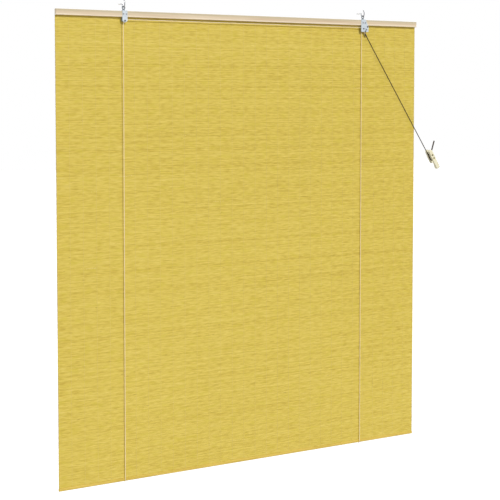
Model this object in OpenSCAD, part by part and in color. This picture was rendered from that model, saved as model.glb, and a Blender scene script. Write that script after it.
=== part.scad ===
// Bamboo roll-up blind: a reed mat on a wooden head rail, hung from two wall hooks.
// Two lift cords run under the mat, over pulleys and through a cord lock to one pull cord,
// which is made fast on a wall cleat.
// X runs along the rail, -Y points into the room, +Z is up.
// The origin lies on the wall, midway between the two hook screws.

/* [Blind] */
// Width of the mat and length of the head rail
blind_w = 1500; // [1200:10:1800]
// Drop from the top of the rail to the bottom edge
blind_drop = 1600; // [1000:10:2000]
// Distance between the two hooks, which is also that of the brackets
hook_spacing = 1000; // [700:10:1100]

/* [Head rail] */
// Height of the rail
rail_h = 20; // [16:0.5:30]
// Thickness of the rail
rail_t = 10; // [9:0.5:16]
// Radius of the eased long edges
rail_edge_r = 1.5; // [0.5:0.1:3]

/* [Reed mat] */
// Thickness of a reed
mat_t = 2; // [1.6:0.1:4]
// Distance from one reed to the next
reed_pitch = 8; // [7:0.1:16]
// Depth of the groove between two reeds, on each face
reed_groove = 0.6; // [0.2:0.05:0.7]
// Width of the flat crown of a reed
reed_crown = 6.4; // [4:0.1:6.8]
// Distance that the mat stays below the top of the rail
mat_inset = 1; // [0.5:0.5:6]

/* [Bottom batten] */
// Height of the batten
batten_h = 10; // [8:0.5:20]
// Thickness of the batten
batten_t = 6; // [5:0.2:7]
// Radius of the batten's long edges
batten_edge_r = 2.4; // [0.5:0.1:2.4]

/* [Staples] */
// Number of staples that hold the mat to the rail
staple_count = 12; // [6:1:16]
// Width of a staple over its legs
staple_w = 11; // [8:0.5:14]
// Width of the staple wire, along the rail
staple_wire_w = 1.2; // [0.8:0.1:1.6]
// Thickness of the staple wire
staple_wire_t = 0.7; // [0.5:0.1:1]
// Depth that the legs reach into the rail
staple_bite = 6; // [3:0.5:7]
// Depth of the mat's staples below the top of the rail
staple_drop = 6; // [4:0.5:8]

/* [Hooks] */
// Diameter of the hook wire
hook_wire_d = 3.6; // [3:0.2:5]
// Radius of the hook's ring, at the middle of the wire
hook_ring_r = 9; // [8:0.5:14]
// Radius of the bend between ring and shank
hook_bend_r = 2.6; // [2.6:0.2:6]
// Length of bare shank between the wall and the bend
hook_bare = 1.4; // [0.4:0.2:12]
// Length of the straight stretch between the bend and the ring
hook_straight = 0.4; // [0.2:0.2:4]
// Length of the screw behind the wall face
hook_screw = 28; // [15:1:50]
// Length of the point of the screw
hook_point = 6; // [3:0.5:10]
// Height that the front of the ring rises before its tip curls back
hook_rise = 5; // [1:0.5:8]
// Angle of the curled tip
hook_curl = 65; // [30:5:80]

/* [Brackets] */
// Thickness of the steel plates
plate_t = 1.2; // [0.8:0.1:1.5]
// Width of the plates over the rail
plate_w = 19; // [18:0.5:30]
// Height that the front plates rise above the rail
plate_over = 2; // [0.5:0.5:6]
// Drop of the left bracket below the rail
left_drop = 16; // [16:0.5:30]
// Radius of the lower corners of the left plates
plate_corner_r = 6; // [1:0.5:6]
// Radius of the upper corners of the plates
plate_top_r = 2; // [0.5:0.5:6]
// Outer radius of the hanging eye
eye_r = 6.5; // [5.5:0.1:8]
// Radius of the hole in the hanging eye
eye_hole_r = 3.4; // [2.8:0.1:4.2]
// Height of the eye's hole above the rail
eye_rise = 11.5; // [10:0.5:20]
// Width of the neck below the eye
neck_w = 8.5; // [6:0.5:11]
// Height of the tapered shoulder below the neck
shoulder_h = 4; // [1:0.5:5]
// Radius of the rivets through the rail
rivet_r = 1.5; // [1:0.1:2]
// Distance between the two rivets of a bracket
rivet_spacing = 11; // [8:0.5:12]
// Radius of a rivet's or pin's head
head_r = 2.8; // [2.4:0.1:3.2]
// Height of a rivet's or pin's head
head_h = 1; // [0.5:0.1:2]

/* [Pulleys] */
// Radius at which the cord's middle runs on a pulley
pulley_run_r = 4.5; // [4:0.1:5.5]
// Height of the flange above the middle of the cord
pulley_flange = 1.3; // [0.8:0.1:1.6]
// Radius of the pulley pins
pin_r = 1.5; // [1:0.1:1.8]
// Depth of the pins below the rail
pin_drop = 12.5; // [11.5:0.5:13.5]
// Outer radius of the bush beside the left pulley
bush_r = 3; // [2.4:0.1:4]

/* [Cord lock] */
// Distance of the front plate's left edge from the bracket's middle
lock_left = 14; // [10:0.5:20]
// Distance of the lock's right edge from the bracket's middle
lock_right = 20; // [19.5:0.5:30]
// Distance of the front plate's upper right corner from the bracket's middle
lock_top = 6.5; // [4:0.5:12]
// Radius of the corners of the lock's plates
lock_corner_r = 3; // [1:0.5:4]
// Drop of the lock below the rail
lock_drop = 24; // [23.5:0.5:34]
// Distance of the lock's pulleys to the left of the bracket's middle
lock_pulley_off = 2.5; // [0:0.5:4]
// Radius of the knurled lock roller
roller_r = 3; // [2.4:0.1:3.4]
// Number of flutes round the roller
roller_flutes = 18; // [12:1:24]
// Depth of the flutes
flute_depth = 0.35; // [0.1:0.05:0.5]
// Radius of the roller's journals
journal_r = 1.5; // [1:0.1:1.8]
// Length of the slanted slot
roller_travel = 5.5; // [3:0.5:6]
// Slope of the slanted slot, in degrees
slot_slope = 43; // [35:1:50]
// Radius of the guide bar and of the spacer post
bar_r = 2; // [1.7:0.1:2.4]
// Depth of the guide bar below the rail
bar_drop = 21; // [20.5:0.5:21.5]
// Distance of the spacer post to the right of the bracket's middle
post_off = 15; // [14:0.5:16]
// Depth of the spacer post below the rail
post_drop = 5; // [4.5:0.5:7]

/* [Cords] */
// Diameter of the lift cords
lift_cord_d = 2.2; // [1.6:0.1:2.4]
// Diameter of the pull cord
pull_cord_d = 3; // [2:0.1:3.2]
// Length of the crimped ferrule that joins the cords
ferrule_len = 10.8; // [6:0.1:10.8]
// Radius of the ferrule
ferrule_r = 2.8; // [2.5:0.1:3.6]
// Radius of the knots at the back ends of the lift cords
knot_r = 3; // [2.7:0.1:4]
// Height of a knot's middle above its flat underside
knot_rise = 2.4; // [1.5:0.1:2.4]
// Distance of the knots to the left of each bracket's middle
knot_side = 15; // [14:0.5:40]

/* [Wall cleat] */
// Reach of the lower horn from the middle of the waist
horn_low_len = 54; // [44:1:60]
// Reach of the upper horn from the middle of the waist
horn_high_len = 29; // [26:1:40]
// Length of the base on the wall
cleat_base_len = 58; // [46:1:70]
// Thickness of the base
cleat_base_t = 6; // [5:0.5:8]
// Height of the waist between base and horns
cleat_waist_h = 16; // [12:0.5:24]
// Thickness of the horns at the waist
cleat_horn_t = 9; // [7:0.5:14]
// Width of the base and the horns
cleat_w = 15; // [13.5:0.5:16]
// Length of the waist
cleat_waist_len = 28; // [22:1:28]
// Width of the waist
cleat_waist_w = 13; // [9:0.5:13]
// Radius of the stout end of the lower horn
horn_low_r = 7; // [5:0.1:7.2]
// Radius of the slender end of the upper horn
horn_high_r = 5; // [4:0.1:6]
// How much further the lower horn stands out than the upper one
horn_lean = 5; // [0:0.5:5]
// Radius of the screw holes
cleat_hole_r = 2.1; // [1.5:0.1:3]
// Radius of the sunk screw heads
cleat_sink_r = 4; // [3.2:0.1:4.8]
// Depth that the screw heads are sunk
cleat_sink = 10; // [2:0.5:12]
// Distance between the screw holes
cleat_hole_spacing = 14; // [11:0.5:16]
// Tilt of the cleat from upright, in degrees
cleat_tilt = 29; // [0:1:45]
// Distance of the middle of the waist from the side of the mat
cleat_side = 85; // [60:1:200]
// Depth of the middle of the waist below the hooks
cleat_down = 543; // [400:1:900]

/* [Hidden] */

// Clearances: a pin in its hole, a pulley or roller beside a plate, the roller beside the pulleys,
// a cord beside what guides it, a plate in its rebate, an eye on its hook and a staple in its slots.
pin_fit = 0.05;
side_fit = 0.2;
roller_fit = 0.3;
cord_fit = 0.35;
rebate_fit = 0.1;
hang_fit = 0.1;
staple_fit = 0.05;
// Overrun of a cut, sides of a round bar and steps of a corner, of a head's edge and of a round end
eps = 0.01;
curve_n = 48;
corner_n = 5;
head_n = 4;
end_n = 12;

// Colours
pale_wood = [0.80, 0.72, 0.60];
reed_gold = [0.84, 0.75, 0.36];
zinc = [0.72, 0.75, 0.78];
bright_steel = [0.82, 0.82, 0.82];
nylon = [0.88, 0.87, 0.83];
cord_cream = [0.88, 0.80, 0.64];
cord_taupe = [0.42, 0.38, 0.33];

// Hook: ring middle in front of the wall, and the eye that hangs on it.
ring_y = -(hook_bare + hook_bend_r + hook_ring_r);
ring_z = -hook_bend_r - hook_straight;
hook_r = hook_wire_d / 2;
hook_point_r = 0.3;
eye_z = ring_z - hook_ring_r + hook_r + hang_fit - eye_hole_r;

// Heights
rail_top = eye_z - eye_rise;
rail_bottom = rail_top - rail_h;
rail_mid = rail_top - rail_h / 2;
blind_bottom = rail_top - blind_drop;
mat_top = rail_top - mat_inset;
mat_bottom = blind_bottom + batten_h;
mat_h = mat_top - mat_bottom;
pin_z = rail_bottom - pin_drop;

// Depths, from the rear plate that hangs in the ring to the front plate
rail_back = ring_y + plate_t / 2;
rail_front = rail_back - rail_t;
mat_back = rail_back + mat_t;
mat_mid = rail_back + mat_t / 2;
rear_inner = rail_back - plate_t;
front_outer = rail_front - plate_t;
plate_gap = rear_inner - rail_front;
pulley_w = (plate_gap - 3 * side_fit) / 2;
front_run_y = rail_front + side_fit + pulley_w / 2;
rear_run_y = rear_inner - side_fit - pulley_w / 2;

// Places along the rail
left_x = -hook_spacing / 2;
right_x = hook_spacing / 2;
lock_pulley_x = right_x - lock_pulley_off;

// Pulley section
groove_r = lift_cord_d / 2 + cord_fit;
pulley_r = pulley_run_r + pulley_flange;

// Cord lock: the roller's place at the upper end of its slot, then at rest at the lower end,
// and the bar that the cords turn round as they leave.
roller_lock = [lock_pulley_x + pulley_r + roller_fit + roller_r, pin_z];
roller_rest = roller_lock + roller_travel * [cos(slot_slope), -sin(slot_slope)];
strand_x = lock_pulley_x + pulley_run_r;
bar_place = [strand_x + groove_r + bar_r, rail_bottom - bar_drop];
post_place = [right_x + post_off, rail_bottom - post_drop];

// Reeds
reed_count = floor(mat_h / reed_pitch);
reed_step = mat_h / reed_count;
reed_bevel = (reed_step - reed_crown) / 2;

// Cleat on the wall beside the mat, placed by the middle of its waist
cleat_place = [blind_w / 2 + cleat_side, -cleat_down];
horn_in = cleat_base_t + cleat_waist_h;
cleat_h = horn_in + cleat_horn_t;
waist_bite = 2;

// Routes of the cords, through the middle of each cord.
// The lift cords start at their knots behind the rail and pass under the batten.
left_cord_x = -504.5;
right_cord_x = 493;
left_knot = [left_x - knot_side, -8.9, -34.3];
right_knot = [right_x - knot_side, -8.9, -34.3];
under_batten = [
    [-6.7, -1622], [-7.3, -1624.3], [-9, -1626.1], [-11.4, -1626.7], [-13.8, -1626.1],
    [-15.5, -1624.3], [-16.1, -1622]
];
left_route = concat(
    [left_knot, [left_knot[0], -8.9, -60], [-504.5, -6.7, -1600]],
    [for (p = under_batten) [left_cord_x, p[0], p[1]]],
    [
        [-504.5, -20.15, -57.5], [-503.9, -20.15, -55.2], [-502.3, -20.15, -53.6], [-500, -20.15, -53],
        [497.5, -20.15, -53], [499.8, -20.15, -53.6], [501.4, -20.15, -55.2], [502, -20.15, -57.5],
        [502, -20.15, -66], [502.2, -20.15, -67], [502.6, -20.15, -67.9],
        [506, -19.3, -73], [508, -19.3, -76]
    ]
);
right_route = concat(
    [right_knot, [right_knot[0], -8.9, -60], [493, -6.7, -1600]],
    [for (p = under_batten) [right_cord_x, p[0], p[1]]],
    [
        [493, -15.85, -57.5], [493.6, -15.85, -55.2], [495.2, -15.85, -53.6], [497.5, -15.85, -53],
        [499.8, -15.85, -53.6], [501.4, -15.85, -55.2], [502, -15.85, -57.5],
        [502, -15.85, -66], [502.2, -15.85, -67], [502.6, -15.85, -67.9],
        [506, -16.7, -73], [508, -16.7, -76]
    ]
);
// The ferrule lies along the pull, two across for three down.
ferrule_start = [508, -18, -76];
pull_dir = [2, 0, -3] / norm([2, 0, -3]);
pull_slant = atan2(2, 3);
// The pull cord runs straight to the waist of the cleat, takes one and a half turns round it
// and ends in a short tail beside the upper horn. Each point is along, across and out of the cleat.
cleat_route = [
    [-8.9, -8.7, -16], [-13.7, -6.2, -15.8], [-16.3, 0, -15.6], [-13.7, 6.2, -15.4], [-7.5, 8.8, -15.2],
    [7.5, 8.8, -14.6], [13.7, 6.2, -14.3], [16.3, 0, -14], [13.7, -6.2, -13.7], [7.5, -8.8, -13.4],
    [-7.5, -8.8, -12.7], [-13.7, -6.2, -12.4], [-16.3, 0, -12.1], [-13.7, 6.2, -11.8], [-7.5, 8.8, -11.5],
    [7.5, 8.8, -11.2], [17, 14.5, -11], [30, 28.5, -11], [45, 44.5, -11]
];
pull_route = concat(
    [ferrule_start + ferrule_len * pull_dir],
    [for (p = cleat_route) [
        cleat_place[0] - p[0] * sin(cleat_tilt) + p[1] * cos(cleat_tilt), p[2],
        cleat_place[1] + p[0] * cos(cleat_tilt) + p[1] * sin(cleat_tilt)
    ]]
);

// Points of an arc round a middle, from one angle to another
function arc(mid, r, from, to, n) =
    [for (i = [0:n]) let (a = from + (to - from) * i / n) mid + r * [cos(a), sin(a)]];

// Outline of a rectangle with rounded corners: low ones of radius r0, high ones of radius r1
function round_rect(x0, x1, z0, z1, r0, r1, n = corner_n) = concat(
    arc([x1 - r0, z0 + r0], r0, -90, 0, n), arc([x1 - r1, z1 - r1], r1, 0, 90, n),
    arc([x0 + r1, z1 - r1], r1, 90, 180, n), arc([x0 + r0, z0 + r0], r0, 180, 270, n)
);

// Outline of the lock's front plate: its right edge slants out from the top to the spacer post
function lock_front_outline() =
    let (
        x0 = right_x - lock_left,
        x1 = right_x + lock_right,
        low = rail_bottom - lock_drop + lock_corner_r,
        high = rail_top + plate_over
    )
    concat(
        arc([x1 - lock_corner_r, low], lock_corner_r, -90, 0, corner_n),
        [[x1, rail_bottom - post_drop], [right_x + lock_top, high]],
        arc([x0 + plate_top_r, high - plate_top_r], plate_top_r, 90, 180, corner_n),
        arc([x0 + lock_corner_r, low], lock_corner_r, 180, 270, corner_n)
    );

// Outline of the lock's rear plate: narrow in the rail's rebate, wider to the right below the rail
function lock_rear_outline() =
    let (
        x0 = right_x - plate_w / 2,
        x1 = right_x + lock_right,
        low = rail_bottom - lock_drop + lock_corner_r,
        shoulder = rail_bottom - side_fit
    )
    concat(
        arc([x1 - lock_corner_r, low], lock_corner_r, -90, 0, corner_n),
        arc([x1 - plate_top_r, shoulder - plate_top_r], plate_top_r, 0, 90, corner_n),
        [[x0 + plate_w, shoulder], [x0 + plate_w, rail_top], [x0, rail_top]],
        arc([x0 + lock_corner_r, low], lock_corner_r, 180, 270, corner_n)
    );

// Stands an X-Z outline upright, from one depth to another.
module upright(front, back) {
    translate([0, back, 0])
        rotate([90, 0, 0])
            linear_extrude(back - front)
                children();
}

// Carries a Y-Z section along the rail for a length, about the middle.
module along_rail(length) {
    translate([-length / 2, 0, 0])
        rotate([90, 0, 90])
            linear_extrude(length)
                children();
}

// A round bar square to the wall, from one depth to another
module bar_to_wall(place, r, front, back) {
    translate([place[0], back, place[1]])
        rotate([90, 0, 0])
            cylinder(r = r, h = back - front, $fn = curve_n);
}

// A pin with a domed head at the front, flush at the back
module headed_pin(place, r) {
    shank = rail_back - front_outer;
    translate([place[0], rail_back, place[1]])
        rotate([90, 0, 0])
            rotate_extrude($fn = curve_n)
                polygon(concat(
                    [[0, side_fit / 2], [r, side_fit / 2], [r, shank], [head_r, shank]],
                    arc([head_r - head_h / 2, shank + head_h / 2], head_h / 2, 0, 90, head_n),
                    [[0, shank + head_h]]
                ));
}

// Places of the rivets through the rail
function rivet_places() =
    [for (x = [left_x, right_x]) for (s = [-1, 1]) [x + s * rivet_spacing / 2, rail_mid]];

// Places of the staples along the mat
function staple_places() =
    [for (i = [0:staple_count - 1]) blind_w * ((i + 0.5) / staple_count - 0.5)];

// Inner width of the mat's staples, and inner width and lift of those over the cords
staple_inner = staple_w - 2 * staple_wire_w;
cord_staple_inner = lift_cord_d + 2 * cord_fit;
cord_staple_lift = left_knot[1] - mat_back + lift_cord_d / 2 + cord_fit;
staple_z = rail_top - staple_drop;
knot_places = [left_knot[0], right_knot[0]];

// Ends of the legs of staples at some places, grown by a fit for their slots
module leg_ends(places, z, inner, grow = 0) {
    for (x = places, s = [-1, 1])
        translate([x + s * (inner + staple_wire_w) / 2, z])
            square([staple_wire_w + 2 * grow, staple_wire_t + 2 * grow], center = true);
}

// Flat wire staples driven from behind, their crowns lifted off the mat's back
module staples(places, z, inner, lift) {
    crown_back = mat_back + lift + staple_wire_t;
    upright(rail_back - staple_bite, crown_back)
        leg_ends(places, z, inner);
    upright(mat_back + lift, crown_back)
        for (x = places)
            translate([x, z])
                square([inner + 2 * staple_wire_w, staple_wire_t], center = true);
}

// The slots of all the staples in the mat and the rail
module staple_slots() {
    upright(rail_back - staple_bite - staple_fit, mat_back + eps) {
        leg_ends(staple_places(), staple_z, staple_inner, staple_fit);
        leg_ends(knot_places, rail_mid, cord_staple_inner, staple_fit);
    }
}

module head_rail() {
    color(pale_wood)
        difference() {
            along_rail(blind_w)
                polygon(round_rect(rail_front, rail_back, rail_bottom, rail_top, rail_edge_r, rail_edge_r));
            for (x = [left_x, right_x])
                translate([x - plate_w / 2 - rebate_fit, rear_inner, rail_bottom - eps])
                    cube([plate_w + 2 * rebate_fit, plate_t + eps, rail_h + 2 * eps]);
            for (p = rivet_places())
                bar_to_wall(p, rivet_r + pin_fit, rail_front - eps, rail_back + eps);
            staple_slots();
        }
}

// One wall of reeds side by side: grooves between flat crowns on both faces
module bamboo_mat() {
    face = concat(
        [for (i = [0:reed_count - 1]) let (z = mat_bottom + i * reed_step)
            each [[0, z], [reed_groove, z + reed_bevel], [reed_groove, z + reed_bevel + reed_crown]]],
        [[0, mat_top]]
    );
    last = len(face) - 1;
    front_root = rail_back + reed_groove;
    back_root = mat_back - reed_groove;
    color(reed_gold)
        difference() {
            along_rail(blind_w)
                polygon(concat(
                    [for (p = face) [front_root - p[0], p[1]]],
                    [for (i = [last:-1:0]) [back_root + face[i][0], face[i][1]]]
                ));
            staple_slots();
        }
}

module bottom_batten() {
    color(reed_gold)
        along_rail(blind_w)
            polygon(round_rect(mat_mid - batten_t / 2, mat_mid + batten_t / 2, blind_bottom, mat_bottom,
                batten_edge_r, batten_edge_r));
}

module mat_staples() {
    color(bright_steel)
        staples(staple_places(), staple_z, staple_inner, 0);
}

// Staples that stand over the back runs of the lift cords, under the knots
module cord_staples() {
    color(bright_steel)
        staples(knot_places, rail_mid, cord_staple_inner, cord_staple_lift);
}

// The rivet holes of one bracket
module rivet_holes(mid_x) {
    for (s = [-1, 1])
        bar_to_wall([mid_x + s * rivet_spacing / 2, rail_mid], rivet_r + pin_fit,
            front_outer - eps, rail_back + eps);
}

// The hanging eye, its neck and its shoulder, above the rail
module hanging_eye(mid_x) {
    upright(rear_inner, rail_back)
        polygon([
            [mid_x - plate_w / 2, rail_top - eps], [mid_x + plate_w / 2, rail_top - eps],
            [mid_x + neck_w / 2, rail_top + shoulder_h], [mid_x + neck_w / 2, eye_z],
            [mid_x - neck_w / 2, eye_z], [mid_x - neck_w / 2, rail_top + shoulder_h]
        ]);
    bar_to_wall([mid_x, eye_z], eye_r, rear_inner, rail_back);
}

module eye_hole(mid_x) {
    bar_to_wall([mid_x, eye_z], eye_hole_r, rear_inner - eps, rail_back + eps);
}

module left_front_plate() {
    color(zinc)
        difference() {
            upright(front_outer, rail_front)
                polygon(round_rect(left_x - plate_w / 2, left_x + plate_w / 2, rail_bottom - left_drop,
                    rail_top + plate_over, plate_corner_r, plate_top_r));
            bar_to_wall([left_x, pin_z], pin_r + pin_fit, front_outer - eps, rail_front + eps);
            rivet_holes(left_x);
        }
}

module left_rear_plate() {
    color(zinc)
        difference() {
            union() {
                upright(rear_inner, rail_back)
                    polygon(round_rect(left_x - plate_w / 2, left_x + plate_w / 2, rail_bottom - left_drop,
                        rail_top, plate_corner_r, eps));
                hanging_eye(left_x);
            }
            eye_hole(left_x);
            bar_to_wall([left_x, pin_z], pin_r + pin_fit, rear_inner - eps, rail_back + eps);
            rivet_holes(left_x);
        }
}

// The holes of a lock plate: pulley pin, guide bar, spacer post and the slanted slot of the roller
module lock_holes(front, back) {
    bar_to_wall([lock_pulley_x, pin_z], pin_r + pin_fit, front - eps, back + eps);
    bar_to_wall(bar_place, pin_r + pin_fit, front - eps, back + eps);
    bar_to_wall(post_place, pin_r + pin_fit, front - eps, back + eps);
    slot_r = journal_r + pin_fit;
    for (p = [roller_lock, roller_rest])
        bar_to_wall(p, slot_r, front - eps, back + eps);
    translate([roller_lock[0], (front + back) / 2, roller_lock[1]])
        rotate([0, slot_slope, 0])
            translate([0, -(back - front) / 2 - eps, -slot_r])
                cube([roller_travel, back - front + 2 * eps, 2 * slot_r]);
    rivet_holes(right_x);
}

module right_front_plate() {
    color(zinc)
        difference() {
            upright(front_outer, rail_front)
                polygon(lock_front_outline());
            lock_holes(front_outer, rail_front);
        }
}

module right_rear_plate() {
    color(zinc)
        difference() {
            union() {
                upright(rear_inner, rail_back)
                    polygon(lock_rear_outline());
                hanging_eye(right_x);
            }
            eye_hole(right_x);
            lock_holes(rear_inner, rail_back);
        }
}

// A grooved pulley that turns about an axis square to the wall
module pulley(x, y) {
    bore_r = pin_r + pin_fit;
    translate([x, y, pin_z])
        rotate([90, 0, 0])
            rotate_extrude($fn = 2 * curve_n)
                difference() {
                    translate([bore_r, -pulley_w / 2])
                        square([pulley_r - bore_r, pulley_w]);
                    translate([pulley_run_r, 0])
                        circle(r = groove_r, $fn = curve_n);
                    translate([pulley_run_r, -groove_r])
                        square([2 * pulley_flange, 2 * groove_r]);
                }
}

module left_pulley() {
    color(nylon) pulley(left_x, front_run_y);
}

module right_front_pulley() {
    color(nylon) pulley(lock_pulley_x, front_run_y);
}

module right_rear_pulley() {
    color(nylon) pulley(lock_pulley_x, rear_run_y);
}

module left_pulley_pin() {
    color(bright_steel) headed_pin([left_x, pin_z], pin_r);
}

module right_pulley_pin() {
    color(bright_steel) headed_pin([lock_pulley_x, pin_z], pin_r);
}

// Bush that fills the place of a second pulley on the left pin
module left_pulley_bush() {
    color(nylon)
        difference() {
            bar_to_wall([left_x, pin_z], bush_r, rear_run_y - pulley_w / 2, rear_run_y + pulley_w / 2);
            bar_to_wall([left_x, pin_z], pin_r + pin_fit, front_run_y, rail_back);
        }
}

// A shouldered bar that keeps the two lock plates apart
module shouldered_bar(place) {
    color(bright_steel)
        union() {
            headed_pin(place, pin_r);
            bar_to_wall(place, bar_r, rail_front, rear_inner);
        }
}

module guide_bar() {
    shouldered_bar(bar_place);
}

module spacer_post() {
    shouldered_bar(post_place);
}

// Fluted roller with a plain journal at each end
module lock_roller() {
    flute = 360 / roller_flutes;
    color(bright_steel)
        union() {
            upright(rail_front + side_fit, rear_inner - side_fit)
                translate(roller_rest)
                    polygon([for (i = [0:2 * roller_flutes - 1])
                        (roller_r - (i % 2) * flute_depth) * [cos(i * flute / 2), sin(i * flute / 2)]]);
            bar_to_wall(roller_rest, journal_r, front_outer - head_h, rail_back - side_fit);
        }
}

module bracket_rivets() {
    color(bright_steel)
        for (p = rivet_places())
            headed_pin(p, rivet_r);
}

// A stretch of the hook's ring about a height, from an angle that starts at the wall and goes down first
module hook_arc(mid_z, from, angle) {
    translate([0, ring_y, mid_z])
        mirror([0, 0, 1])
            rotate([90, 0, 90])
                rotate([0, 0, from])
                    rotate_extrude(angle = angle, $fn = 2 * curve_n)
                        translate([hook_ring_r, 0])
                            circle(r = hook_r, $fn = curve_n);
}

// Screw hook: a screw into the wall, a tight bend, then an open hook in a plane square to the wall,
// whose front rises straight and curls back at its tip
module screw_hook(x) {
    color(bright_steel)
        translate([x, 0, 0])
            union() {
                bar_to_wall([0, 0], hook_r, -hook_bare, hook_screw - hook_point);
                translate([0, hook_screw - hook_point, 0])
                    rotate([-90, 0, 0])
                        cylinder(r1 = hook_r, r2 = hook_point_r, h = hook_point, $fn = curve_n);
                translate([0, -hook_bare, -hook_bend_r])
                    rotate([90, 0, 90])
                        rotate([0, 0, 90])
                            rotate_extrude(angle = 90, $fn = curve_n)
                                translate([hook_bend_r, 0])
                                    circle(r = hook_r, $fn = curve_n);
                translate([0, ring_y + hook_ring_r, ring_z])
                    cylinder(r = hook_r, h = hook_straight, $fn = curve_n);
                hook_arc(ring_z, 0, 180);
                translate([0, ring_y - hook_ring_r, ring_z])
                    cylinder(r = hook_r, h = hook_rise, $fn = curve_n);
                hook_arc(ring_z + hook_rise, 180, hook_curl);
            }
}

module left_hook() {
    screw_hook(left_x);
}

module right_hook() {
    screw_hook(right_x);
}

// Knots on the back ends of the lift cords, flat where the cord enters
module cord_knots() {
    color(cord_cream)
        for (p = [left_knot, right_knot])
            translate(p)
                difference() {
                    translate([0, 0, knot_rise])
                        sphere(r = knot_r, $fn = curve_n);
                    translate([-2 * knot_r, -2 * knot_r, -4 * knot_r])
                        cube(4 * knot_r);
                    translate([-2 * knot_r, mat_back - p[1] - 4 * knot_r, -knot_r])
                        cube(4 * knot_r);
                }
}

// Unit vector
function unit(v) = v / norm(v);

// Direction of a route at each of its points
function heading(route, i) =
    i == 0 ? unit(route[1] - route[0])
    : i == len(route) - 1 ? unit(route[i] - route[i - 1])
    : unit(unit(route[i] - route[i - 1]) + unit(route[i + 1] - route[i]));

// First side direction, square to the route's start
function first_side(d) = unit(cross(d, abs(d[0]) < 0.9 ? [1, 0, 0] : [0, 1, 0]));

// Side directions carried along the route without twist
function sides(route, i = 0, side = undef) =
    i == len(route) ? []
    : let (
        d = heading(route, i),
        s = is_undef(side) ? first_side(d) : unit(side - (side * d) * d)
    ) concat([s], sides(route, i + 1, s));

// A cord of a diameter along a route, with eight sides
module cord(route, diameter) {
    n = 8;
    turn = sides(route);
    rings = [
        for (i = [0:len(route) - 1])
            let (d = heading(route, i), s = turn[i], t = cross(d, s))
                for (k = [0:n - 1])
                    route[i] + diameter / 2 * (cos(k * 360 / n) * s + sin(k * 360 / n) * t)
    ];
    last = (len(route) - 1) * n;
    walls = [
        for (i = [0:len(route) - 2])
            for (k = [0:n - 1])
                [i * n + k, i * n + (k + 1) % n, (i + 1) * n + (k + 1) % n, (i + 1) * n + k]
    ];
    triangles = [for (w = walls) each [[w[2], w[1], w[0]], [w[3], w[2], w[0]]]];
    ends = [[for (k = [0:n - 1]) k], [for (k = [n - 1:-1:0]) last + k]];
    polyhedron(rings, concat(triangles, ends), convexity = 10);
}

module left_lift_cord() {
    color(cord_cream) cord(left_route, lift_cord_d);
}

module right_lift_cord() {
    color(cord_cream) cord(right_route, lift_cord_d);
}

// Crimped barrel with eased ends that joins the lift cords to the pull cord
module cord_ferrule() {
    ease = 0.4;
    color(zinc)
        translate(ferrule_start)
            rotate([0, 180 - pull_slant, 0])
                rotate_extrude($fn = curve_n)
                    polygon([[0, 0], [ferrule_r - ease, 0], [ferrule_r, ease],
                        [ferrule_r, ferrule_len - ease], [ferrule_r - ease, ferrule_len], [0, ferrule_len]]);
}

module pull_cord() {
    color(cord_taupe) cord(pull_route, pull_cord_d);
}

// Outline with round ends, upright, from its low end to its high end
module round_ended(low, high, width) {
    end_r = width / 2 - eps;
    polygon(round_rect(-width / 2, width / 2, low, high, end_r, end_r, end_n));
}

// Side outline of the horns, along the cleat and out from the wall, with round ends
module horn_side() {
    waist_x = cleat_waist_len / 2;
    high_mid = [horn_high_len - horn_high_r, cleat_h - horn_lean - horn_high_r];
    polygon(concat(
        [[-waist_x, horn_in], [waist_x, horn_in]],
        arc(high_mid, horn_high_r, -90, 90, end_n),
        arc([horn_low_r - horn_low_len, cleat_h - horn_low_r], horn_low_r, 90, 270, end_n)
    ));
}

module wall_cleat() {
    color(pale_wood)
        translate([cleat_place[0], 0, cleat_place[1]])
            rotate([0, -cleat_tilt, 0])
                difference() {
                    union() {
                        upright(-cleat_base_t, 0)
                            round_ended(-cleat_base_len / 2, cleat_base_len / 2, cleat_w);
                        upright(-horn_in - waist_bite, -eps)
                            round_ended(-cleat_waist_len / 2, cleat_waist_len / 2, cleat_waist_w);
                        intersection() {
                            translate([-cleat_w, 0, 0])
                                rotate([90, 0, 90])
                                    linear_extrude(2 * cleat_w)
                                        rotate([0, 0, 90])
                                            horn_side();
                            upright(-2 * cleat_h, 0)
                                round_ended(-horn_low_len, horn_high_len, cleat_w);
                        }
                    }
                    for (s = [-1, 1]) {
                        bar_to_wall([0, s * cleat_hole_spacing / 2], cleat_hole_r, -2 * cleat_h, eps);
                        bar_to_wall([0, s * cleat_hole_spacing / 2], cleat_sink_r, -2 * cleat_h,
                            cleat_sink - cleat_h);
                    }
                }
}

head_rail();
bamboo_mat();
bottom_batten();
mat_staples();
left_front_plate();
left_rear_plate();
left_pulley();
left_pulley_pin();
left_pulley_bush();
right_front_plate();
right_rear_plate();
right_front_pulley();
right_rear_pulley();
right_pulley_pin();
guide_bar();
spacer_post();
lock_roller();
bracket_rivets();
left_hook();
right_hook();
cord_staples();
cord_knots();
left_lift_cord();
right_lift_cord();
cord_ferrule();
pull_cord();
wall_cleat();
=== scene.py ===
"""Dresses the bamboo roll-up blind: reeds, warp threads, twisted cords, grained wood and zinc fittings."""
import math

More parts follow.
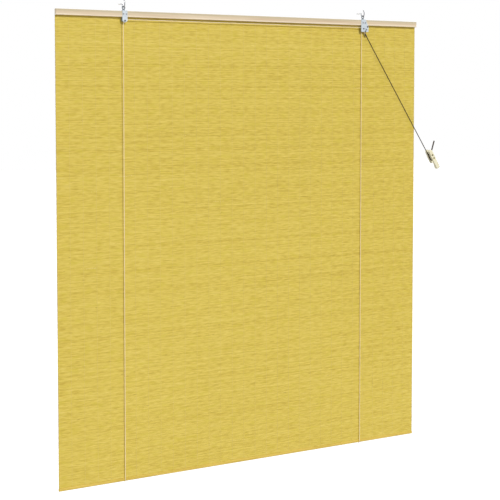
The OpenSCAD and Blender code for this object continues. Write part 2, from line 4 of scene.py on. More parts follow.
import bpy
import numpy as np
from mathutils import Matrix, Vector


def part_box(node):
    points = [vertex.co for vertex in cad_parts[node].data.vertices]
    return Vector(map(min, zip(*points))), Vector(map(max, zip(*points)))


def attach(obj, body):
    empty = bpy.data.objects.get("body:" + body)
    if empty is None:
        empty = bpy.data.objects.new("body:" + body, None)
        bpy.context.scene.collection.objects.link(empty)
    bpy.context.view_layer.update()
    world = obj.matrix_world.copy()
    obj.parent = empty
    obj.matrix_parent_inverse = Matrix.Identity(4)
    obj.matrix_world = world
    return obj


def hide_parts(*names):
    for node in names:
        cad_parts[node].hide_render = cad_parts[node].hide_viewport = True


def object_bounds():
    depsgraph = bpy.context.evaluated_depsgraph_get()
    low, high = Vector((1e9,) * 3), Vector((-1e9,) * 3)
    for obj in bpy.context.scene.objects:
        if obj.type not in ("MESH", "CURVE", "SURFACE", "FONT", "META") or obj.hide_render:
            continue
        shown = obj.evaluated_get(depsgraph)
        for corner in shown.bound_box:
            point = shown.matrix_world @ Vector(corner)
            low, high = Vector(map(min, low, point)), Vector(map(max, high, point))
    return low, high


bl_info = {
    "name": "Bamboo roll-up blind",
    "version": (1, 0, 0),
    "blender": (4, 5, 0),
    "location": "3D View > Sidebar > Blind",
    "description": "Builds the reeds, threads, cords and finishes of a bamboo roll-up blind",
    "category": "Object",
}

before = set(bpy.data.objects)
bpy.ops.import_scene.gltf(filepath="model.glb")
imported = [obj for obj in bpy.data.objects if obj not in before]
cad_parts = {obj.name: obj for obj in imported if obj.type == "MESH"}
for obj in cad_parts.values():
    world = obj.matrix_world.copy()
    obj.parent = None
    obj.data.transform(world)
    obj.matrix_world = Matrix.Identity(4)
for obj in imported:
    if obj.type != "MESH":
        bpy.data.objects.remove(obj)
CAD_BOX = [list(corner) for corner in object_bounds()]
BODY = "blind"
MM = 0.001
REED_SEED = 41

MAT_LOW, MAT_HIGH = (np.array(corner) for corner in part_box("bamboo_mat"))
RAIL_LOW, RAIL_HIGH = (np.array(corner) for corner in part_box("head_rail"))
HOOK_LOW, HOOK_HIGH = (np.array(corner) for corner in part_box("left_hook"))

# Routes of the cords in metres, through the middle of each cord.
LEFT_BACK_X, RIGHT_BACK_X = -0.515, 0.485
LEFT_CORD_X, RIGHT_CORD_X = -0.5045, 0.493
UNDER_BATTEN = (
    (-0.0067, -1.622), (-0.0073, -1.6243), (-0.009, -1.6261), (-0.0114, -1.6267), (-0.0138, -1.6261),
    (-0.0155, -1.6243), (-0.0161, -1.622),
)
LEFT_ROUTE = (
    (LEFT_BACK_X, -0.0089, -0.0343), (LEFT_BACK_X, -0.0089, -0.06), (LEFT_CORD_X, -0.0067, -1.6),
    *((LEFT_CORD_X, y, z) for y, z in UNDER_BATTEN),
    (-0.5045, -0.02015, -0.0575), (-0.5039, -0.02015, -0.0552), (-0.5023, -0.02015, -0.0536),
    (-0.5, -0.02015, -0.053), (0.4975, -0.02015, -0.053), (0.4998, -0.02015, -0.0536),
    (0.5014, -0.02015, -0.0552), (0.502, -0.02015, -0.0575), (0.502, -0.02015, -0.066),
    (0.5022, -0.02015, -0.067), (0.5026, -0.02015, -0.0679),
    (0.506, -0.0193, -0.073), (0.508, -0.0193, -0.076),
)
RIGHT_ROUTE = (
    (RIGHT_BACK_X, -0.0089, -0.0343), (RIGHT_BACK_X, -0.0089, -0.06), (RIGHT_CORD_X, -0.0067, -1.6),
    *((RIGHT_CORD_X, y, z) for y, z in UNDER_BATTEN),
    (0.493, -0.01585, -0.0575), (0.4936, -0.01585, -0.0552), (0.4952, -0.01585, -0.0536),
    (0.4975, -0.01585, -0.053), (0.4998, -0.01585, -0.0536), (0.5014, -0.01585, -0.0552),
    (0.502, -0.01585, -0.0575), (0.502, -0.01585, -0.066), (0.5022, -0.01585, -0.067),
    (0.5026, -0.01585, -0.0679),
    (0.506, -0.0167, -0.073), (0.508, -0.0167, -0.076),
)
# The pull cord leaves the ferrule. Its points at the cleat are along it, across it and away from the wall.
PULL_START = (0.51399, -0.018, -0.08499)
CLEAT_PLACE = (0.835, -0.543)
CLEAT_TILT = math.radians(29)
CLEAT_ROUTE = (
    (-0.0089, -0.0087, -0.016), (-0.0137, -0.0062, -0.0158), (-0.0163, 0, -0.0156),
    (-0.0137, 0.0062, -0.0154), (-0.0075, 0.0088, -0.0152), (0.0075, 0.0088, -0.0146),
    (0.0137, 0.0062, -0.0143), (0.0163, 0, -0.014), (0.0137, -0.0062, -0.0137),
    (0.0075, -0.0088, -0.0134), (-0.0075, -0.0088, -0.0127), (-0.0137, -0.0062, -0.0124),
    (-0.0163, 0, -0.0121), (-0.0137, 0.0062, -0.0118), (-0.0075, 0.0088, -0.0115),
    (0.0075, 0.0088, -0.0112), (0.017, 0.0145, -0.011), (0.03, 0.0285, -0.011), (0.045, 0.0445, -0.011),
)

# How the cords are drawn: corner cuts, distance of the rings, sides of a strand and depth of its grooves.
FIRST_CUT, SECOND_CUT = 1.2 * MM, 0.5 * MM
RING_STEP = 1 * MM
STRAND_SIDES = 4
GROOVE_DEPTH = 0.2

# The camera that fits the photograph: its focal length in pixels of a picture of this width, and the angles
# by which it looks down and to the right.
PICTURE_PIXELS = 500
FOCAL_PIXELS = 1372.5
SENSOR_WIDTH = 36
CAMERA_PLACE = (-2.6135, -4.1551, -0.3174)
CAMERA_DOWN = math.radians(3.608)
CAMERA_RIGHT = math.radians(32.266)
CAMERA_SHIFT = -0.13

# Lamps by strength, spread in degrees and direction as seen from the blind; then the surround and the floor.
KEY_LAMP = (2.4, 4, (0.28, -1.0, 0.7))
FILL_LAMP = (1.6, 30, (-0.6, 0.9, 0.5))
SURROUND_LIGHT = 0.36
FLOOR_DROP = 1.2
FLOOR_REACH = 40.0


def srgb(red, green, blue):
    """Linear colour of a display colour: the usual display curve, for each of the three channels."""
    share = np.array((red, green, blue)) / 255
    linear = np.where(share <= 0.04045, share / 12.92, ((share + 0.055) / 1.055) ** 2.4)
    return tuple(float(v) for v in linear)


def length_value(name, about, default):
    """A size in metres that a user may change."""
    return bpy.props.FloatProperty(name=name, description=about, default=default, unit="LENGTH", precision=5)


def colour_value(name, about, default):
    """A colour that a user may change."""
    return bpy.props.FloatVectorProperty(name=name, description=about, default=default, subtype="COLOR",
                                         size=3, min=0, max=1)


class BlindSizes(bpy.types.PropertyGroup):
    """Sizes of the pieces that are added to the solids."""

    reeds: bpy.props.IntProperty(name="Reeds", description="Reeds from the mat's top to its hem", default=396)
    reed_width: length_value("Reed width", "Usual width of a reed", 4.7 * MM)
    reed_thickness: length_value("Reed thickness", "Usual thickness of a reed", 1.75 * MM)
    reed_bow: length_value("Reed bow", "How far a reed wanders from a straight line", 0.08 * MM)
    thread_spacing: length_value("Thread spacing", "Distance between two warp threads", 48.4 * MM)
    thread_radius: length_value("Thread radius", "Radius of a warp thread", 0.34 * MM)
    lift_cord_d: length_value("Lift cord", "Diameter of the lift cords", 2.2 * MM)
    pull_cord_d: length_value("Pull cord", "Diameter of the pull cord over its strands", 3.5 * MM)
    tail_d: length_value("Tail", "Diameter of the pull cord's thickened tail", 5.6 * MM)
    tail_length: length_value("Tail length", "Length of the pull cord's thickened tail", 40 * MM)
    cord_lay: length_value("Cord lay", "Length of one turn of a lift cord's strands", 8 * MM)
    pull_cord_lay: length_value("Pull cord lay", "Length of one turn of the pull cord's strands", 11.2 * MM)
    thread_pitch: length_value("Screw pitch", "Pitch of the hooks' wood screw threads", 1.8 * MM)
    thread_depth: length_value("Screw depth", "Height of the hooks' screw threads", 0.4 * MM)


class BlindColours(bpy.types.PropertyGroup):
    """Colours of the finishes."""

    reed: colour_value("Reed", "Usual colour of a reed", srgb(216, 192, 84))
    reed_pale: colour_value("Pale reed", "Colour of the palest reeds", srgb(230, 208, 112))
    reed_dark: colour_value("Dark reed", "Colour of the darkest fibres", srgb(188, 158, 52))
    reed_fleck: colour_value("Fleck", "Colour of the nodes and flecks on the reeds", srgb(160, 124, 44))
    reed_rich: colour_value("Rich reed", "Colour of the deep yellow patches on the reeds", srgb(208, 188, 58))
    hem: colour_value("Hem", "Colour of the bottom batten", srgb(222, 192, 90))
    thread: colour_value("Warp thread", "Colour of the warp threads", srgb(228, 208, 130))
    rail: colour_value("Rail", "Usual colour of the head rail", srgb(224, 205, 175))
    rail_dark: colour_value("Rail grain", "Colour of the late wood in the head rail", srgb(204, 176, 142))
    # These two colours only make the rail darker near its top and paler near its foot.
    rail_top: colour_value("Rail top", "Colour of the greyer wood at the rail's top", srgb(191, 181, 148))
    rail_low: colour_value("Rail foot", "Colour of the pale sapwood at the rail's foot", srgb(246, 229, 202))
    cleat: colour_value("Cleat", "Usual colour of the cleat", srgb(240, 235, 206))
    cleat_dark: colour_value("Cleat grain", "Colour of the late wood in the cleat", srgb(214, 202, 162))
    zinc: colour_value("Zinc", "Colour of the zinc plates", srgb(192, 200, 206))
    # Painted shade: the hanging eyes above the rail take this dark colour for the shade they stand in.
    zinc_painted_shade: colour_value("Dark zinc", "Colour of the hanging eyes above the rail", srgb(74, 80, 88))
    steel: colour_value("Steel", "Colour of hooks, rivets and staples", srgb(150, 150, 152))
    pin: colour_value("Pin", "Colour of the dull pins, bars, roller and ferrule", srgb(72, 70, 70))
    nylon: colour_value("Nylon", "Colour of the pulleys", srgb(226, 223, 212))
    lift_cord: colour_value("Lift cord", "Colour of the lift cords", srgb(255, 238, 204))
    pull_cord: colour_value("Pull cord", "Colour of the pull cord", srgb(62, 48, 26))


def sizes():
    """The sizes of this scene."""
    return bpy.context.scene.blind_sizes


def paint(name):
    """One of the colours of this scene."""
    return tuple(getattr(bpy.context.scene.blind_colours, name))


# Meshes

def ring_quads(rings, sides):
    """Quads between each ring of vertices and the next, closed round the ring."""
    ring = np.arange(rings - 1)[:, None] * sides
    side = np.arange(sides)[None, :]
    after = (side + 1) % sides
    return np.stack([ring + side, ring + after, ring + sides + after, ring + sides + side], -1).reshape(-1, 4)


def cap_quads(rings, sides):
    """Quads that close both end rings: each takes the first vertex and three more, two steps apart."""
    step = np.arange(sides // 2 - 1) * 2
    fan = np.stack([step * 0, step + 1, step + 2, step + 3], -1)
    return np.concatenate([fan[:, ::-1], fan + (rings - 1) * sides])


def tube_quads(rings, sides):
    """Quads of a closed tube, its wall and both ends, facing out where the rings run anticlockwise to an eye
    that looks along the tube. For rings that run the other way each quad is reversed."""
    return np.concatenate([ring_quads(rings, sides), cap_quads(rings, sides)])[:, ::-1]


def many(quads, verts_each, count):
    """The same quads for many like shapes, each with its own stretch of vertices."""
    return (quads[None] + np.arange(count)[:, None, None] * verts_each).reshape(-1, 4)


def make_piece(name, points, quads, slot, finish, replaces=(), **values):
    """A smooth mesh from arrays of points and quads, with its finish and named values on its points. It rides
    on the blind's body."""
    points = np.asarray(points, np.float32).reshape(-1, 3)
    quads = np.asarray(quads, np.int32).reshape(-1, 4)
    mesh = bpy.data.meshes.new(name)
    mesh.vertices.add(len(points))
    mesh.vertices.foreach_set("co", points.ravel())
    mesh.loops.add(quads.size)
    mesh.loops.foreach_set("vertex_index", quads.ravel())
    mesh.polygons.add(len(quads))
    mesh.polygons.foreach_set("loop_start", np.arange(0, quads.size, 4, dtype=np.int32))
    mesh.polygons.foreach_set("use_smooth", np.full(len(quads), True))
    for key, value in values.items():
        attribute = mesh.attributes.new(key, "FLOAT", "POINT")
        attribute.data.foreach_set("value", np.asarray(value, np.float32).ravel())
    mesh.update(calc_edges=True)
    mesh.validate()
    mesh.materials.append(finish)
    piece = bpy.data.objects.new(name, mesh)
    bpy.context.scene.collection.objects.link(piece)
    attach(piece, BODY)
    if replaces:
        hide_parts(*replaces)
    return piece


def unit(vectors):
    """Vectors of length one."""
    return vectors / np.linalg.norm(vectors, axis=-1, keepdims=True)


def uneven(chance, shape, spread, least, most):
    """Random factors about one, kept between the least and the most."""
    return (1 + chance.normal(0, spread, shape)).clip(least, most)


def soften(points, cut):
    """Cuts each corner of a line: two new points on each stretch, a quarter or a set length from its ends."""
    points = np.asarray(points, float)
    span = points[1:] - points[:-1]
    share = np.minimum(0.25, cut / np.linalg.norm(span, axis=1))[:, None]
    pairs = np.stack([points[:-1] + share * span, points[1:] - share * span], 1).reshape(-1, 3)
    return np.concatenate([points[:1], pairs[1:-1], points[-1:]])


def length_to(points):
    """Length of a line up to each of its points: the running sum of its stretches."""
    return np.concatenate([[0], np.cumsum(np.linalg.norm(np.diff(points, axis=0), axis=1))])


def along(points, step):
    """Points at even steps of length along a line, and the length up to each."""
    gone = length_to(points)
    at = np.linspace(0, gone[-1], int(round(gone[-1] / step)) + 1)
    return np.stack([np.interp(at, gone, points[:, k]) for k in range(3)], 1), at


def rings_round(line, aside, angle, reach):
    """Rings of points round a line. Two directions across the line come from cross products of its own
    direction with one aside. A point lies at its reach from the line, turned by its angle from the first
    direction to the second."""
    ahead = unit(np.gradient(line, axis=0))
    side = unit(np.cross(ahead, aside))
    other = np.cross(side, ahead)
    outward = np.cos(angle)[..., None] * side[:, None] + np.sin(angle)[..., None] * other[:, None]
    return line[:, None] + np.asarray(reach)[..., None] * outward


def twisted_cord(route, radius, lay, strands, aside):
    """A cord of twisted strands: a lobed ring carried along the softened route and turned once in each length
    of lay. The ring's radius is the cord's, less the groove's depth times one minus the lobes' cosine,
    halved. aside is a direction that the route never takes. Returns its line, rings and quads, and how near
    a crest each point is."""
    line, at = along(soften(soften(route, FIRST_CUT), SECOND_CUT), RING_STEP)
    sides = strands * STRAND_SIDES
    turn = np.arange(sides) * 2 * math.pi / sides
    crest = (1 + np.cos(strands * turn)) / 2
    angle = turn + (at / lay * 2 * math.pi)[:, None]
    rings = rings_round(line, aside, angle, radius * (1 - GROOVE_DEPTH * (1 - crest)))
    return line, rings, tube_quads(len(line), sides), np.broadcast_to(crest, angle.shape)


# Materials

def new_material(name):
    """A new material, with its tree and its Principled shader."""
    material = bpy.data.materials.new(name)
    material.use_nodes = True
    shader = next(n for n in material.node_tree.nodes if n.type == "BSDF_PRINCIPLED")
    return material, material.node_tree, shader


def feed(tree, socket, value):
    """Links a socket to another node's socket, or sets it to a value. A colour gets its fourth channel."""
    if isinstance(value, bpy.types.NodeSocket):
        tree.links.new(value, socket)
    elif socket.type == "RGBA":
        socket.default_value = (*value, 1)
    else:
        socket.default_value = value


def add(tree, kind, **inputs):
    """A node of a kind, with its sockets fed by name."""
    node = tree.nodes.new("ShaderNode" + kind)
    for key, value in inputs.items():
        feed(tree, node.inputs[key.replace("_", " ")], value)
    return node


def noise(tree, scale, offset=(0, 0, 0), detail=2, roughness=0.5, turn=0, distortion=0):
    """Noise on Object coordinates, scaled for each axis, turned about Y and moved by an offset."""
    place = add(tree, "TexCoord").outputs["Object"]
    moved = add(tree, "Mapping", Vector=place, Location=offset, Rotation=(0, turn, 0), Scale=scale)
    made = add(tree, "TexNoise", Vector=moved.outputs["Vector"], Scale=1, Detail=detail, Roughness=roughness,
               Distortion=distortion)
    return made.outputs["Fac"]


def value_of(tree, name):
    """A value that the mesh holds on its points."""
    node = tree.nodes.new("ShaderNodeAttribute")
    node.attribute_name = name
    return node.outputs["Fac"]


def fit(tree, value, span, onto=(0, 1)):
    """Carries a value from one span onto another, without going past the ends."""
    node = add(tree, "MapRange", Value=value, From_Min=span[0], From_Max=span[1], To_Min=onto[0],
               To_Max=onto[1])
    return node.outputs["Result"]


def math_of(tree, how, first, second=0):
    """One sum of two values."""
    node = tree.nodes.new("ShaderNodeMath")
    node.operation = how
    feed(tree, node.inputs[0], first)
    feed(tree, node.inputs[1], second)
    return node.outputs[0]


def blend(tree, share, first, second):
    """A colour between two colours."""
    node = tree.nodes.new("ShaderNodeMix")
    node.data_type = "RGBA"
    feed(tree, node.inputs[0], share)
    feed(tree, node.inputs[6], first)
    feed(tree, node.inputs[7], second)
    return node.outputs[2]


def seen_rays(tree):
    """One for rays that show the surround, straight, mirrored or through glass, and nought for others."""
    path = tree.nodes.new("ShaderNodeLightPath")
    seen = math_of(tree, "MAXIMUM", path.outputs["Is Camera Ray"], path.outputs["Is Glossy Ray"])
    return math_of(tree, "MAXIMUM", seen, path.outputs["Is Transmission Ray"])


def place_along(tree, axis):
    """The Object coordinate along one axis."""
    place = add(tree, "TexCoord").outputs["Object"]
    return add(tree, "SeparateXYZ", Vector=place).outputs[axis]


def bump(tree, shader, height, strength, distance):
    """Raises the shader's surface by a height."""
    node = add(tree, "Bump", Height=height, Strength=strength, Distance=distance)
    feed(tree, shader.inputs["Normal"], node.outputs["Normal"])


def darker(colour, share):
    """A share of a colour."""
    return tuple(share * v for v in colour)


def reed_finish():
    """Bamboo: the shade is a weighted sum of the reed's own tone, short streaks and a slow drift over the
    mat. On it lie flecks at the nodes, darker cut ends and deep yellow patches, with a fine fibre in gloss
    and bump."""
    material, tree, shader = new_material("bamboo_reed")
    fibre = noise(tree, (45, 300, 900), detail=4, roughness=0.6)
    streak = noise(tree, (36, 150, 240), offset=(1, 4, 2))
    drift = noise(tree, (1.1, 1, 0.9), offset=(3, 0, 5))
    fleck = noise(tree, (42, 60, 330), offset=(7, 1, 2))
    patch = noise(tree, (24, 9, 60), offset=(5, 2, 9))
    tone = math_of(tree, "MULTIPLY", value_of(tree, "tone"), 0.2)
    shade = math_of(tree, "ADD", tone, math_of(tree, "MULTIPLY", streak, 0.88))
    shade = math_of(tree, "ADD", shade, fit(tree, drift, (0.3, 0.7), (-0.08, 0)))
    colour = blend(tree, fit(tree, shade, (0.12, 0.5)), paint("reed_dark"), paint("reed"))
    colour = blend(tree, fit(tree, shade, (0.5, 0.92)), colour, paint("reed_pale"))
    colour = blend(tree, fit(tree, fleck, (0.69, 0.78), (0, 0.62)), colour, paint("reed_fleck"))
    half_mat = float(MAT_HIGH[0])
    from_middle = math_of(tree, "ABSOLUTE", place_along(tree, "X"))
    cut_end = fit(tree, from_middle, (half_mat - 1.6 * MM, half_mat - 0.4 * MM), (0, 0.75))
    colour = blend(tree, cut_end, colour, paint("reed_fleck"))
    colour = blend(tree, fit(tree, patch, (0.52, 0.72), (0, 0.4)), colour, paint("reed_rich"))
    feed(tree, shader.inputs["Base Color"], colour)
    feed(tree, shader.inputs["Roughness"], fit(tree, fibre, (0.2, 0.8), (0.5, 0.68)))
    shader.inputs["Specular IOR Level"].default_value = 0.35
    bump(tree, shader, fibre, 0.35, 0.25 * MM)
    return material


def thread_finish():
    """Cotton warp thread: a pale matt yarn with a fine twist."""
    material, tree, shader = new_material("warp_thread")
    twist = fit(tree, noise(tree, (900, 900, 1500)), (0.3, 0.7), (0, 0.35))
    feed(tree, shader.inputs["Base Color"], blend(tree, twist, paint("thread"), paint("reed_dark")))
    shader.inputs["Roughness"].default_value = 0.85
    return material


def wood_finish(name, pale, dark, scale, turn=0, rough=0.55, bands=()):
    """Planed wood: long late-wood lines from stretched noise, fine pores and a little bump. Each band is a
    colour, the heights where it starts and where it is full, and its greatest share; its edge wavers."""
    material, tree, shader = new_material(name)
    line = noise(tree, scale, detail=4, roughness=0.6, turn=turn, distortion=0.4)
    pores = noise(tree, tuple(6 * v for v in scale), detail=3, roughness=0.6, turn=turn)
    late_wood = fit(tree, line, (0.42, 0.66), (0, 0.7))
    grain = math_of(tree, "ADD", late_wood, fit(tree, pores, (0.56, 0.75), (0, 0.3)))
    colour = blend(tree, grain, pale, dark)
    for band, start, full, most in bands:
        edge = noise(tree, (6, 20, 40), offset=(0, 0, full * 900))
        waver = fit(tree, edge, (0.3, 0.7), (-1.5 * MM, 1.5 * MM))
        height = math_of(tree, "ADD", place_along(tree, "Z"), waver)
        colour = blend(tree, fit(tree, height, (start, full), (0, most)), colour, band)
    feed(tree, shader.inputs["Base Color"], colour)
    feed(tree, shader.inputs["Roughness"], fit(tree, line, (0.3, 0.7), (rough - 0.08, rough + 0.08)))
    shader.inputs["Specular IOR Level"].default_value = 0.35
    bump(tree, shader, pores, 0.3, 0.15 * MM)
    return material


def metal_finish(name, colour, metallic, rough, painted_shade_above=None):
    """Plated metal: a faint cloudy spangle and fine scratches; painted shade darkens it above a height where
    one is given.
    """
    material, tree, shader = new_material(name)
    cloud = noise(tree, (240, 240, 240), detail=3, roughness=0.6)
    scratch = noise(tree, (900, 900, 120), offset=(2, 0, 1))
    made = blend(tree, fit(tree, cloud, (0.35, 0.7), (0, 0.35)), colour, darker(colour, 0.55))
    if painted_shade_above is not None:
        # Painted shade: above the height the zinc turns to the dark colour of the shaded eyes.
        high = fit(tree, place_along(tree, "Z"), (painted_shade_above, painted_shade_above + 2 * MM), (0, 0.8))
        made = blend(tree, high, made, paint("zinc_painted_shade"))
    feed(tree, shader.inputs["Base Color"], made)
    shader.inputs["Metallic"].default_value = metallic
    feed(tree, shader.inputs["Roughness"], fit(tree, scratch, (0.3, 0.7), (rough - 0.08, rough + 0.1)))
    bump(tree, shader, scratch, 0.12, 0.05 * MM)
    return material


def nylon_finish():
    """Moulded nylon: a milky satin plastic with faint mottling."""
    material, tree, shader = new_material("moulded_nylon")
    mottle = fit(tree, noise(tree, (400, 400, 400)), (0.3, 0.7), (0, 0.25))
    feed(tree, shader.inputs["Base Color"], blend(tree, mottle, paint("nylon"), darker(paint("nylon"), 0.8)))
    shader.inputs["Roughness"].default_value = 0.38
    return material


def cord_finish(name, colour, groove):
    """Cord: the colour of its crests, and painted shade in the grooves between the strands, where a share of
    that colour is left; with short fibres.
    """
    material, tree, shader = new_material(name)
    fibre = noise(tree, (1500, 1500, 1500), roughness=0.6)
    # Painted shade: away from the crests the colour falls to its share in the grooves.
    crest = fit(tree, value_of(tree, "crest"), (0, 0.8))
    share = math_of(tree, "MULTIPLY", crest, fit(tree, fibre, (0.2, 0.5), (0.75, 1)))
    feed(tree, shader.inputs["Base Color"], blend(tree, share, darker(colour, groove), colour))
    shader.inputs["Roughness"].default_value = 0.9
    shader.inputs["Sheen Weight"].default_value = 0.15
    bump(tree, shader, fibre, 0.3, 0.1 * MM)
    return material


# Operators

class BLIND_OT_camera(bpy.types.Operator):
    """Sets up the camera at the photograph's place: from the left, a little above the middle of the blind."""

    bl_idname = "blind.camera"
    bl_label = "Camera"

    def execute(self, context):
        data = bpy.data.cameras.new("camera")
        data.sensor_width = SENSOR_WIDTH
        data.lens = FOCAL_PIXELS / PICTURE_PIXELS * SENSOR_WIDTH
        data.shift_y = CAMERA_SHIFT
        data.clip_end = 100
        camera = bpy.data.objects.new("camera", data)
        camera.location = CAMERA_PLACE
        camera.rotation_euler = (math.pi / 2 - CAMERA_DOWN, 0, -CAMERA_RIGHT)
        context.scene.collection.objects.link(camera)
        context.scene.camera = camera
        return {"FINISHED"}


class BLIND_OT_lift_cords(bpy.types.Operator):
    """Lays the two lift cords: three strands twisted, from the knots behind the rail to the ferrule."""

    bl_idname = "blind.lift_cords"
    bl_label = "Lift cords"

    def execute(self, context):
        diameter, strands, aside = sizes().lift_cord_d, 3, (0.7071, 0.7071, 0)
        # groove is the share of the colour left in the painted shade of the grooves.
        finish = cord_finish("lift_cord", paint("lift_cord"), groove=0.88)
        for name, route in (("left_lift_cord", LEFT_ROUTE), ("right_lift_cord", RIGHT_ROUTE)):
            line, rings, quads, crest = twisted_cord(route, diameter / 2, sizes().cord_lay, strands, aside)
            piece = make_piece(name + "_twist", rings, quads, "lift_cord", finish, (name,), crest=crest)
        return {"FINISHED"}


class BLIND_OT_pull_cord(bpy.types.Operator):
    """Lays the pull cord: four strands twisted, from the ferrule, round the cleat's waist to a thickened
    tail. It throws no shadow, as in the photograph."""

    bl_idname = "blind.pull_cord"
    bl_label = "Pull cord"

    def execute(self, context):
        diameter, strands, aside = sizes().pull_cord_d, 4, (0, 1, 0)
        up, across, out = np.array(CLEAT_ROUTE).T
        sine, cosine = math.sin(CLEAT_TILT), math.cos(CLEAT_TILT)
        turns = np.stack([CLEAT_PLACE[0] - up * sine + across * cosine, out,
                          CLEAT_PLACE[1] + up * cosine + across * sine], 1)
        route = np.concatenate([[PULL_START], turns])
        line, rings, quads, crest = twisted_cord(route, diameter / 2, sizes().pull_cord_lay, strands, aside)
        gone = length_to(line)
        thickening = 5 * MM
        tail = np.clip((gone - gone[-1] + sizes().tail_length) / thickening, 0, 1)
        swell = 1 + (sizes().tail_d / diameter - 1) * tail
        rings = line[:, None] + (rings - line[:, None]) * swell[:, None, None]
        # groove is the share of the colour left in the painted shade of the grooves.
        finish = cord_finish("pull_cord", paint("pull_cord"), groove=0.6)
        piece = make_piece("pull_cord_braid", rings, quads, "pull_cord", finish, ("pull_cord",), crest=crest)
        piece.visible_shadow = False
        return {"FINISHED"}


class BLIND_OT_knots(bpy.types.Operator):
    """Ties the knots at the back ends of the lift cords: a round strand along a trefoil. While it goes round
    twice, its distance from the middle is two plus the cosine of the tripled angle."""

    bl_idname = "blind.knots"
    bl_label = "Knots"

    def execute(self, context):
        stations, sides = 97, 8
        size, strand_radius = 0.66 * MM, 0.95 * MM
        knot_y, knot_z = -8.7 * MM, -31.9 * MM
        turn = np.linspace(0, 2 * math.pi, stations)
        wide = 2 + np.cos(3 * turn)
        outward = np.stack([np.cos(2 * turn), 0 * turn, np.sin(2 * turn)], 1)
        loop = size * np.stack([wide * np.cos(2 * turn), np.sin(3 * turn), wide * np.sin(2 * turn)], 1)
        angle = np.arange(sides) * 2 * math.pi / sides
        rings = rings_round(loop, outward, angle, strand_radius)
        places = np.array([(x, knot_y, knot_z) for x in (LEFT_BACK_X, RIGHT_BACK_X)])
        points = places[:, None, None] + rings
        quads = many(tube_quads(stations, sides), stations * sides, len(places))
        # Painted shade on two sides of the knots' round strand, through the cord's groove shading.
        crest = np.broadcast_to(0.6 + 0.4 * np.cos(2 * angle), points.shape[:-1])
        finish = bpy.data.materials["lift_cord"]
        make_piece("lift_cord_knots", points, quads, "lift_cord", finish, ("cord_knots",), crest=crest)
        return {"FINISHED"}


class BLIND_OT_reed_mat(bpy.types.Operator):
    """Lays the reeds of the mat side by side. Each is a flattened round rod: a ring whose depth and height
    are powers of the sine and cosine, carried along the reed, with its own width, bow, cut ends and tone."""

    bl_idname = "blind.reed_mat"
    bl_label = "Reed mat"

    def execute(self, context):
        chance = np.random.default_rng(REED_SEED)
        count, stations, sides = sizes().reeds, 15, 8
        pitch = (MAT_HIGH[2] - MAT_LOW[2]) / count
        middle = MAT_LOW[2] + (np.arange(count) + 0.5) * pitch
        end_share = 0.0003
        share = end_share + np.linspace(0, 1, stations - 2) * (1 - 2 * end_share)
        share = np.concatenate([[0], share, [1]])
        cut_spread, cut_most = 0.25 * MM, 0.5 * MM
        short = np.abs(chance.normal(0, cut_spread, (count, 2))).clip(0, cut_most)
        x = MAT_LOW[0] + short[:, :1] + share * (MAT_HIGH[0] - MAT_LOW[0] - short.sum(1, keepdims=True))
        bow = chance.normal(0, sizes().reed_bow, (count, stations))
        bow = (bow + np.roll(bow, 1, 1) + np.roll(bow, -1, 1)) / 2
        half_width = sizes().reed_width / 2 * uneven(chance, (count, stations), 0.06, least=0.85, most=1.14)
        half_thick = sizes().reed_thickness / 2 * uneven(chance, (count, 1), 0.07, least=0.85, most=1.1)
        stray = 0.05 * MM
        depth = (MAT_LOW[1] + MAT_HIGH[1]) / 2 + chance.normal(0, stray, (count, 1)).clip(-stray, stray)
        angle = (np.arange(sides) + 0.5) * 2 * math.pi / sides
        power_y, power_z = 0.8, 0.7
        bulge_y = np.sign(np.sin(angle)) * np.abs(np.sin(angle)) ** power_y
        bulge_z = np.sign(np.cos(angle)) * np.abs(np.cos(angle)) ** power_z
        points = np.stack(np.broadcast_arrays(
            x[:, :, None],
            depth[:, :, None] + half_thick[:, :, None] * bulge_y,
            (middle[:, None] + bow)[:, :, None] + half_width[:, :, None] * bulge_z), -1)
        points[..., 2] = points[..., 2].clip(MAT_LOW[2], MAT_HIGH[2])
        quads = many(tube_quads(stations, sides), stations * sides, count)
        tone_shape = 2.6
        tone = chance.beta(tone_shape, tone_shape, count)
        tone = np.broadcast_to(tone[:, None, None], points.shape[:-1])
        make_piece("reed_mat", points, quads, "bamboo", reed_finish(), ("bamboo_mat",), tone=tone)
        return {"FINISHED"}


class BLIND_OT_warp_threads(bpy.types.Operator):
    """Ties the reeds with warp threads: on each face a four-sided strand that leans to one side and the other
    from reed to reed. Behind the rail the front strand is pressed deeper into the mat."""

    bl_idname = "blind.warp_threads"
    bl_label = "Warp threads"

    def execute(self, context):
        spacing, radius, reeds = sizes().thread_spacing, sizes().thread_radius, sizes().reeds
        lean_reach, flatness = 0.45 * MM, 1.3
        sunk, pressed, rail_margin = 0.12 * MM, 0.6 * MM, 1 * MM
        sides, stations = 4, reeds + 1
        count = int((MAT_HIGH[0] - MAT_LOW[0]) / spacing)
        at = (np.arange(count) - (count - 1) / 2) * spacing
        pitch = (MAT_HIGH[2] - MAT_LOW[2]) / reeds
        z = MAT_HIGH[2] - np.arange(stations) * pitch
        lean = lean_reach * (1 - 2 * (np.arange(stations) % 2))
        front = MAT_LOW[1] + np.where(z > RAIL_LOW[2] - rail_margin, pressed, sunk)
        back = np.full(stations, MAT_HIGH[1] - sunk)
        depth = np.stack([front, back])
        angle = np.arange(sides) * math.pi / 2 + math.pi / 4
        points = np.stack(np.broadcast_arrays(
            at[:, None, None, None] + (lean[:, None] + radius * flatness * np.cos(angle)),
            (depth[:, :, None] + radius * np.sin(angle))[None],
            (z[:, None] + 0 * angle)), -1)
        quads = many(tube_quads(stations, sides), stations * sides, count * 2)
        make_piece("warp_threads", points, quads, "bamboo", thread_finish())
        return {"FINISHED"}


